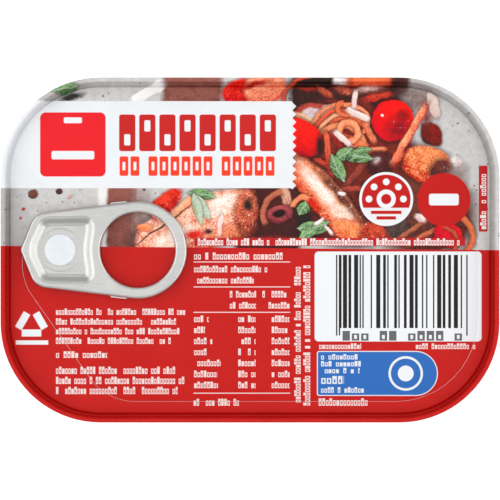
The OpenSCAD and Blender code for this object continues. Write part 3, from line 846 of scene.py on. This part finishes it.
# x, y, half length, half width, turn, light, dark
LEAVES = [
    (-39.7, 34.7, 2.9, 1.3, 14, GREEN, GREEN_DARK),
    (22.6, 20.2, 4.0, 1.5, -10, GREEN, GREEN_DARK), (20.2, 20.6, 2.4, 1.3, 38, GREEN, GREEN_DARK),
    (18.9, 17.6, 3.4, 1.3, -64, GREEN, GREEN_DARK), (24.4, 21.4, 1.9, 0.8, 8, GREEN, GREEN_DARK),
    (11.4, 8.9, 1.8, 1.3, 62, GREEN, GREEN_DARK),
    (13.6, 4.7, 3.6, 1.5, 2, ink(150, 192, 136), ink(72, 112, 72)),
    (12.6, 3.6, 2.6, 1.1, 36, ink(150, 192, 136), ink(72, 112, 72)),
    (15.2, 5.4, 2.2, 0.9, 24, ink(150, 192, 136), ink(72, 112, 72)),
    (-10.4, 12.0, 3.0, 1.2, -10, GREEN, GREEN_DARK),
    (-10.3, 9.4, 3.4, 1.0, -56, PALE_GREEN, ink(150, 180, 140)),
    (-11.3, 8.9, 3.6, 0.9, -74, PALE_GREEN, ink(150, 180, 140)),
]
CHEESE_STICKS = [
    (22.6, 32.3, 0.5, 2.0, -3, 5, 0.1, 0.5, CHEESE, CHEESE_DARK, 0.5),
    (23.2, 29.2, 2.7, 0.72, -28, 5, 0.1, 0.5, CHEESE, CHEESE_DARK, 0.6),
    (19.8, 24.0, 2.3, 0.6, -44, 5, 0.1, 0.5, CHEESE, CHEESE_DARK, 0.5),
    (14.9, 6.3, 1.2, 0.45, 40, 3, 0.12, 0.3, WHITE, CHEESE_DARK, 0.5),
    (16.8, 4.4, 1.5, 0.35, -48, 3, 0.12, 0.3, WHITE, CHEESE_DARK, 0.5),
    (19.6, 12.1, 0.9, 0.4, -12, 2.4, 0.12, 0.3, WHITE, CHEESE_DARK, 0.4),
]


def lay_food(colour, pieces):
    """Prints pieces of food one over another."""
    for x, y, half_x, half_y, turn, squareness, soft, shadow, light, dark, mottle in pieces:
        colour = use_group(
            tree, food_piece, under=colour, point=loose, grain=grain, centre=(x, y, 0),
            half=(half_x, half_y, 9), turn=turn, squareness=squareness, soft=soft, shadow=shadow,
            light=light, dark=dark, mottle=mottle,
        )["Colour"]
    return colour


def lay_noodles(colour, curls):
    """Prints curled noodles one over another."""
    for x, y, radius, width, turn, reach, light, dark in curls:
        colour = use_group(
            tree, noodle, under=colour, point=loose, grain=grain, centre=(x, y, 0), radius=radius,
            width=width, turn=turn, reach=reach, light=light, dark=dark,
        )["Colour"]
    return colour


colour = lay_food(colour, DISH)
colour = lay_noodles(colour, CURLS)
colour = lay_food(colour, TOP_PIECES)
colour = lay_noodles(colour, TOP_CURLS)
for x, y, half_x, half_y, turn, light, dark in LEAVES:
    colour = use_group(
        tree, herb_leaf, under=colour, point=loose, grain=grain, centre=(x, y, 0),
        half=(half_x, half_y, 9), turn=turn, light=light, dark=dark,
    )["Colour"]
colour = lay_food(colour, CHEESE_STICKS)
richer = tree.nodes.new("ShaderNodeHueSaturation")
richer.inputs["Hue"].default_value = 0.49
richer.inputs["Saturation"].default_value = 1.03
richer.inputs["Value"].default_value = 1.06
feed(tree, richer.inputs["Color"], colour)
deeper = tree.nodes.new("ShaderNodeGamma")
deeper.inputs["Gamma"].default_value = 1.16
feed(tree, deeper.inputs["Color"], richer.outputs[0])
colour = deeper.outputs[0]

DEEP_RED = ink(190, 30, 30)
ROUNDEL_X, ROUNDEL_Y = 29.3, 10.96
roundel = [
    (ROUNDEL_X, ROUNDEL_Y, 5.8, 5.8, 0, 5.8, PAPER_WHITE),
    (ROUNDEL_X, ROUNDEL_Y, 5.25, 5.25, 0, 5.25, RED),
    (41.7, 10.85, 5.69, 5.69, 0, 5.69, RED),
    (41.7, 10.85, 3.2, 1.25, 0, 0.5, PAPER_WHITE),
]
for y in (8.77, 8.27, 7.77, 7.27, 6.77, 6.27, 5.95):
    half_chord = math.sqrt(5.4**2 - (ROUNDEL_Y - y) ** 2)
    roundel.append((ROUNDEL_X, y, half_chord, 0.3, 0, 0.05, PAPER_WHITE))
roundel += [
    (ROUNDEL_X, ROUNDEL_Y, 2.05, 2.05, 0, 2.05, PAPER_WHITE),
    (ROUNDEL_X, ROUNDEL_Y, 1.1, 1.1, 0, 1.1, RED),
    (ROUNDEL_X, 8.1, 3.3, 0.36, 0, 0.15, RED),
    (ROUNDEL_X, 6.9, 2.1, 0.36, 0, 0.15, RED),
]
for angle in (0, 45, 90, 135, 180):
    dot_x = ROUNDEL_X + 3.7 * math.cos(math.radians(angle))
    dot_y = ROUNDEL_Y + 3.7 * math.sin(math.radians(angle))
    roundel.append((dot_x, dot_y, 0.72, 0.72, 0, 0.72, PAPER_WHITE))
band_teeth = [(BAND_END, 13.9 + 1.7 * i, 0.6, 0.6, 45, 0.05, PAPER_WHITE) for i in range(11)]
colour = lay_marks(tree, point, colour, [
    (17.2, 1.74, 29.1, 0.86, 0, 0.1, DEEP_RED),
    (50.15, 11.05, 0.95, 7.1, 0, 0.25, DEEP_RED),
] + roundel + band_teeth)
CAPTION_WHITE = ink(250, 240, 238)
colour = lay_words(tree, point, colour, CAPTION_WHITE, [
    (-11.3, 45.8, 0.0, 2.5, 2.0, 1, 1.5, 0.62, 31),
])
colour = lay_words(tree, turn_upright(tree, point), colour, CAPTION_WHITE, [
    (4.4, 17.8, 0.0, -49.5, 2.0, 1, 1.3, 0.8, 33),
])
finish_print(tree, shader, colour, point)


RED_TOP = 0.43
RED_SLOPE = 0.0086
SCORE_END, SCORE_SIDE = 49.1, 32.7
SCORE_NEAR = 0.003
PICTURE, WHITE_BAND, RED_PANEL, BARE_METAL = range(4)


def lid_region(face):
    """Which print a face of the lid carries: picture, white band, red, or bare metal."""
    x, y, z = (n / MM for n in face.calc_center_median())
    if face.normal.z < -0.3:
        return BARE_METAL
    score_level = abs(z - SCORE_Z / MM + SCORE_DEPTH / 2) < SCORE_NEAR
    in_score = score_level and abs(y) < SCORE_SIDE and abs(x) < SCORE_END
    if y < RED_TOP - RED_SLOPE * x:
        return BARE_METAL if in_score else RED_PANEL
    return WHITE_BAND if BAND_LOW < y < BAND_TOP and x < BAND_END else PICTURE


def sheet_section():
    """The lid's sheet in section, from its panel over the seam to its foot: the distance
    in from the rim, the height, and the length of sheet so far, in millimetres."""
    across, height = SEAM_ROUND, RIM_TOP / MM
    section = [(across, height)]
    for step_in_by, step_up_by in SEAM_STEPS:
        across, height = across + step_in_by, height + step_up_by
        section.insert(0, (across, height))
    for over, down in arc_steps(-SEAM_ROUND, SEAM_ROUND, 90, 0, 5):
        section.append((section[-1][0] + over, section[-1][1] + down))
    section.append((0.0, RIM_TOP / MM - SEAM_HEIGHT))
    length = 0
    spots = []
    for before, spot in zip([section[0]] + section, section):
        length += math.dist(before, spot)
        spots.append((spot[0], spot[1], length))
    return spots


SECTION = sheet_section()
SHEET_WIDTH = 122.0
SHEET_MIDDLE = 44.2
UNDER_SCALE = 0.44
PANEL_START = 4.0


def section_spot(vertex):
    """Where a vertex is in section, the nearest point of SECTION and its way out."""
    x, y, z = (n / MM for n in vertex.co)
    core = [(size - SEAM_CORNER) / MM for size in (HALF_LENGTH, HALF_WIDTH)]
    out = Vector((x - min(max(x, -core[0]), core[0]), y - min(max(y, -core[1]), core[1])))
    across = SEAM_CORNER / MM - out.length
    nearest = min(SECTION, key=lambda spot: abs(spot[0] - across) + abs(spot[1] - z))
    return across, nearest, out


def on_sheet(vertex):
    """Whether a vertex is on the printed side of the lid."""
    across, nearest, out = section_spot(vertex)
    level = vertex.co.z / MM
    on_panel = across > PANEL_START and level > SCORE_Z / MM - 0.1
    return on_panel or abs(nearest[0] - across) + abs(nearest[1] - level) < 0.03


def flat_place(vertex, printed):
    """Where a vertex comes on the lid's flattened sheet, from 0 to 1 each way. The
    hidden side is drawn small, above the printed one."""
    across, nearest, out = section_spot(vertex)
    x, y, z = (n / MM for n in vertex.co)
    if not printed:
        shrink = UNDER_SCALE * (1 + 0.02 * (z - 19.0)) / SHEET_WIDTH
        return 0.25 + x * shrink, 0.862 + y * shrink
    if across < SECTION[0][0]:
        further = nearest[2] - (SECTION[0][0] - across)
        x, y = x + out.normalized().x * further, y + out.normalized().y * further
    return 0.5 + x / SHEET_WIDTH, (SHEET_MIDDLE + y) / SHEET_WIDTH


bpy.ops.object.select_all(action="DESELECT")
bpy.context.view_layer.objects.active = tin_lid
tin_lid.select_set(True)
bpy.ops.object.mode_set(mode="EDIT")
for spot, way in (
    ((0, RED_TOP, 0), (RED_SLOPE, 1, 0)), ((0, BAND_LOW, 0), (0, 1, 0)),
    ((0, BAND_TOP, 0), (0, 1, 0)), ((BAND_END, 0, 0), (1, 0, 0)),
):
    bpy.ops.mesh.select_all(action="SELECT")
    bpy.ops.mesh.bisect(plane_co=[n * MM for n in spot], plane_no=way)
for finish in (picture_print, white_print, red_print, body_metal):
    tin_lid.data.materials.append(finish)
lid_faces = bmesh.from_edit_mesh(tin_lid.data)
sheet_map = lid_faces.loops.layers.uv.new("OFBake")
for face in lid_faces.faces:
    face.material_index = lid_region(face)
    printed = all(on_sheet(vertex) for vertex in face.verts)
    for loop in face.loops:
        loop[sheet_map].uv = flat_place(loop.vert, printed)
bmesh.update_edit_mesh(tin_lid.data)
bpy.ops.object.mode_set(mode="OBJECT")
bpy.ops.object.shade_smooth_by_angle(angle=math.radians(30))

# Rivet: drawn up out of the lid's own sheet, so that it carries the lid's white
# coat, and pressed flat over the tab. A low pad round it holds the tab off the lid.
RIVET_X = -40.8
PAD_TOP = 19.75 * MM
FLOOR_TOP = 20.1 * MM
PAD_R = 4.4
STEM_R = 2.2
HEAD_R = 3.2


def disc(name, x, y, radius, low, high, sides):
    """An upright disc at its place, with x, y and radius in millimetres."""
    bpy.ops.object.select_all(action="DESELECT")
    bpy.ops.mesh.primitive_cylinder_add(
        vertices=sides, radius=radius * MM, depth=high - low, location=(x * MM, y * MM, (low + high) / 2)
    )
    piece = bpy.context.object
    piece.name = name
    piece.data.name = name
    bpy.ops.object.transform_apply(location=True, rotation=True, scale=True)
    return piece


lid_rivet = disc("lid_rivet", RIVET_X, 0, PAD_R, SCORE_Z - 0.1 * MM, PAD_TOP - 0.15 * MM, 96)
bpy.ops.object.mode_set(mode="EDIT")
step_in(lid_rivet, True, [(0.1, 0.1), (0.15, 0.05), (PAD_R - 0.25 - STEM_R, 0)])
bpy.ops.mesh.extrude_region_move(TRANSFORM_OT_translate={"value": (0, 0, FLOOR_TOP - PAD_TOP)})
for radius, wider, rise in ((STEM_R, HEAD_R, 0), (HEAD_R, HEAD_R + 0.1, 0.1 * MM)):
    bpy.ops.mesh.extrude_region_move(TRANSFORM_OT_translate={"value": (0, 0, rise)})
    growth = wider / radius
    bpy.ops.transform.resize(value=(growth, growth, 1), center_override=(RIVET_X * MM, 0, FLOOR_TOP))
bpy.ops.mesh.extrude_region_move(TRANSFORM_OT_translate={"value": (0, 0, 0.25 * MM)})
for across, up in arc_steps(-0.25, 0.25, 180, 90, 5):
    bpy.ops.mesh.inset(thickness=across * MM, depth=up * MM, use_even_offset=True)
close_piece(lid_rivet, 40)
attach(lid_rivet, "root")
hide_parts("can_end")

rivet_coat, tree, shader = new_material("white coat over the rivet")
point = place_in_mm(tree, flat=False)
clouds = spread(tree, noise(tree, point, 0.8), 0.35, 0.65)
colour = blend_colours(tree, clouds, ink(229, 232, 236), ink(223, 227, 232))
finish_print(tree, shader, colour, point)
lid_rivet.data.materials.append(rivet_coat)

# Ring-pull tab: thick aluminium strip, blanked, its edges curled under all round
# and its middle pressed down into a pan, whose floor the rivet clamps.
tab_low, tab_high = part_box("pull_tab")
RING_X = -24.0
FINGER_X = -24.1
FINGER_R = 8.0
CURL = 0.7
PAN_DEPTH = 1.3
PAN_WALL = 2.2
PAN_STEPS = 12
PAN_BOW = 0.5
COINED_R = 4.6
CUTTER_LOW = tab_high[2] + 0.02 * MM
CUTTER_TOP = tab_high[2] + MM


def hull_of(name, discs, low, high, sides):
    """The plate that a band pulled tight round some discs would enclose."""
    made = [disc(name, x, y, radius, low, high, sides) for x, y, radius in discs]
    for piece in made:
        piece.select_set(True)
    bpy.ops.object.join()
    piece = bpy.context.object
    piece.name = name
    piece.data.name = name
    bpy.ops.object.mode_set(mode="EDIT")
    bpy.ops.mesh.select_all(action="SELECT")
    bpy.ops.mesh.convex_hull()
    bpy.ops.mesh.dissolve_limited(angle_limit=math.radians(0.5))
    return piece


def cut_away(piece, cutter, way="DIFFERENCE"):
    """Cuts one closed shape out of another, or adds it, and throws the second away."""
    if bpy.context.mode != "OBJECT":
        bpy.ops.object.mode_set(mode="OBJECT")
    bpy.ops.object.select_all(action="DESELECT")
    bpy.context.view_layer.objects.active = piece
    piece.select_set(True)
    cut = piece.modifiers.new("cut", "BOOLEAN")
    cut.operation = way
    cut.solver = "EXACT"
    cut.object = cutter
    bpy.ops.object.modifier_apply(modifier=cut.name)
    bpy.data.objects.remove(cutter)


tin_tab = hull_of(
    "tin_tab",
    [(RING_X, 0, 10.5), (RIVET_X - 2.7, 4.4, 3.8), (RIVET_X - 2.7, -4.4, 3.8), (RIVET_X - 7.4, 0, 1.1)],
    tab_low[2], tab_high[2], 96,
)
pick(tin_tab, "EDGE", lambda edge: abs(edge.verts[0].co.z - edge.verts[1].co.z) < 1e-6)
bpy.ops.mesh.bevel(offset=CURL * MM, segments=10, profile=0.5, clamp_overlap=False)
bpy.ops.object.mode_set(mode="OBJECT")

finger_cut = disc("finger_cut", FINGER_X, 0, FINGER_R + CURL, CUTTER_LOW, CUTTER_TOP, 96)
bpy.ops.object.mode_set(mode="EDIT")
step_in(finger_cut, False, arc_steps(CURL, CURL, 90, 0, 10) + [(0, -2.5)])
close_piece(finger_cut, 40)

pan_cut = hull_of(
    "pan_cut",
    [(RIVET_X + 5.2, 5.0, 2.4), (RIVET_X + 5.2, -5.0, 2.4), (RIVET_X - 2.0, 3.9, 3.4),
     (RIVET_X - 2.0, -3.9, 3.4), (RIVET_X - 0.3, 0, 6.6)],
    CUTTER_LOW, CUTTER_TOP, 64,
)
PAN_BACK = (RIVET_X + 7.6) * MM
pick(pan_cut, "EDGE", lambda edge: all(abs(v.co.x - PAN_BACK) < 1e-5 for v in edge.verts)
     and abs(edge.verts[0].co.y - edge.verts[1].co.y) > 5 * MM)
bpy.ops.mesh.subdivide(number_cuts=9)
for i in range(1, 10):
    bow_y = (-5.0 + i) * MM
    pick(pan_cut, "VERT", lambda v: abs(v.co.x - PAN_BACK) < 1e-5 and abs(v.co.y - bow_y) < 1e-5)
    bow = PAN_BOW * math.cos(math.pi * bow_y / (10 * MM)) ** 2
    bpy.ops.transform.translate(value=(-bow * MM, 0, 0))
pan_drops = [
    PAN_DEPTH * (0.35 * i / PAN_STEPS + 0.65 * (1 - math.cos(math.pi * i / PAN_STEPS)) / 2)
    for i in range(PAN_STEPS + 1)
]
step_in(pan_cut, False, [(PAN_WALL / PAN_STEPS, a - b) for a, b in zip(pan_drops, pan_drops[1:])])
close_piece(pan_cut, 40)
for side in (1, -1):
    curl_end = hull_of(
        "curl_end", [(-29.7, side * 9.88, 0.3), (-26.7, side * 10.2, 0.28)],
        tab_low[2] + 0.15 * MM, tab_low[2] + 0.75 * MM, 24,
    )
    close_piece(curl_end, 40)
    cut_away(tin_tab, curl_end, "UNION")
stem_cut = disc("stem_cut", RIVET_X, 0, 2.25, tab_low[2] - MM, tab_high[2], 48)
for cutter in (finger_cut, pan_cut, stem_cut):
    cut_away(tin_tab, cutter)
bpy.ops.object.mode_set(mode="EDIT")
close_piece(tin_tab, 10.5)
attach(tin_tab, "root")
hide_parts("pull_tab")
tab_metal = make_metal(
    "brushed tab aluminium", ink(207, 206, 203), ink(194, 193, 190), 0.34, (0.05, 1, 0.5), 7.0, 0.005
)
tree = tab_metal.node_tree
shader = tree.nodes["Principled BSDF"]
point = place_in_mm(tree)
from_rivet = vector(tree, "LENGTH", vector(tree, "SUBTRACT", point, (RIVET_X, 0, 0)))
ring = spread(tree, maths(tree, "ABSOLUTE", maths(tree, "SUBTRACT", from_rivet, COINED_R)), 0.14, 0.02)
lines = shader.inputs["Normal"].links[0].from_node
coined = tree.nodes.new("ShaderNodeBump")
coined.inputs["Distance"].default_value = 0.035 * MM
feed(tree, coined.inputs["Height"], ring)
tree.links.new(lines.outputs["Normal"], coined.inputs["Normal"])
tree.links.new(coined.outputs["Normal"], shader.inputs["Normal"])
tin_tab.data.materials.append(tab_metal)

# Studio: a plain white paper sheet under the tin, which glows faintly as painted light,
# wide soft lights on its four sides and above, and a camera that looks straight down.
bpy.ops.object.select_all(action="DESELECT")
bpy.ops.mesh.primitive_plane_add(size=4, location=(0, 0, 0))
floor = bpy.context.object
floor.name = "floor"
sheet, tree, shader = new_material("glowing white paper sheet")
point = place_in_mm(tree)
tone = spread(tree, noise(tree, point, 0.02), 0.3, 0.7)
feed(tree, shader.inputs["Base Color"], blend_colours(tree, tone, ink(255, 255, 255), ink(254, 254, 254)))
shader.inputs["Roughness"].default_value = 0.9
shader.inputs["Specular IOR Level"].default_value = 0.0
# The sheet glows faintly: painted light that keeps it white where the tin would shade it.
shader.inputs["Emission Color"].default_value = (1.0, 1.0, 1.0, 1.0)
shader.inputs["Emission Strength"].default_value = 0.3
floor.data.materials.append(sheet)

VIEW_WIDTH = 107.25 * MM
CAMERA_HEIGHT = 0.78
FRAMED_LEVEL = 21.5 * MM
camera_data = bpy.data.cameras.new("camera")
camera = bpy.data.objects.new("camera", camera_data)
bpy.context.collection.objects.link(camera)
camera.location = (0, 0, CAMERA_HEIGHT)
camera_data.lens = camera_data.sensor_width * (CAMERA_HEIGHT - FRAMED_LEVEL) / VIEW_WIDTH
bpy.context.scene.camera = camera


def soft_box(name, place, size, power):
    """A rectangular softbox at a place, facing the tin."""
    lamp = bpy.data.lights.new(name, "AREA")
    lamp.shape = "RECTANGLE"
    lamp.size, lamp.size_y = size
    lamp.energy = power
    box = bpy.data.objects.new(name, lamp)
    box.location = place
    away = Vector(place)
    box.rotation_euler = away.to_track_quat("Z", "Y").to_euler()
    bpy.context.collection.objects.link(box)


soft_box("left_softbox", (-0.75, 0.05, 0.48), (1.5, 0.7), 4.8)
soft_box("right_softbox", (0.75, 0.0, 0.48), (1.5, 0.7), 4.7)
soft_box("back_softbox", (0.0, 0.9, 0.7), (0.8, 0.35), 0.7)
soft_box("front_softbox", (0.0, -0.9, 0.7), (0.8, 0.35), 0.7)
soft_box("top_softbox", (0.0, 0.0, 1.3), (1.2, 1.2), 3.2)
world = bpy.data.worlds.new("studio")
bpy.context.scene.world = world
world.use_nodes = True
sky = world.node_tree.nodes["Background"]
sky.inputs["Color"].default_value = (0.96, 0.98, 1.0, 1.0)
sky.inputs["Strength"].default_value = 0.5
bpy.context.scene.view_settings.view_transform = "Standard"
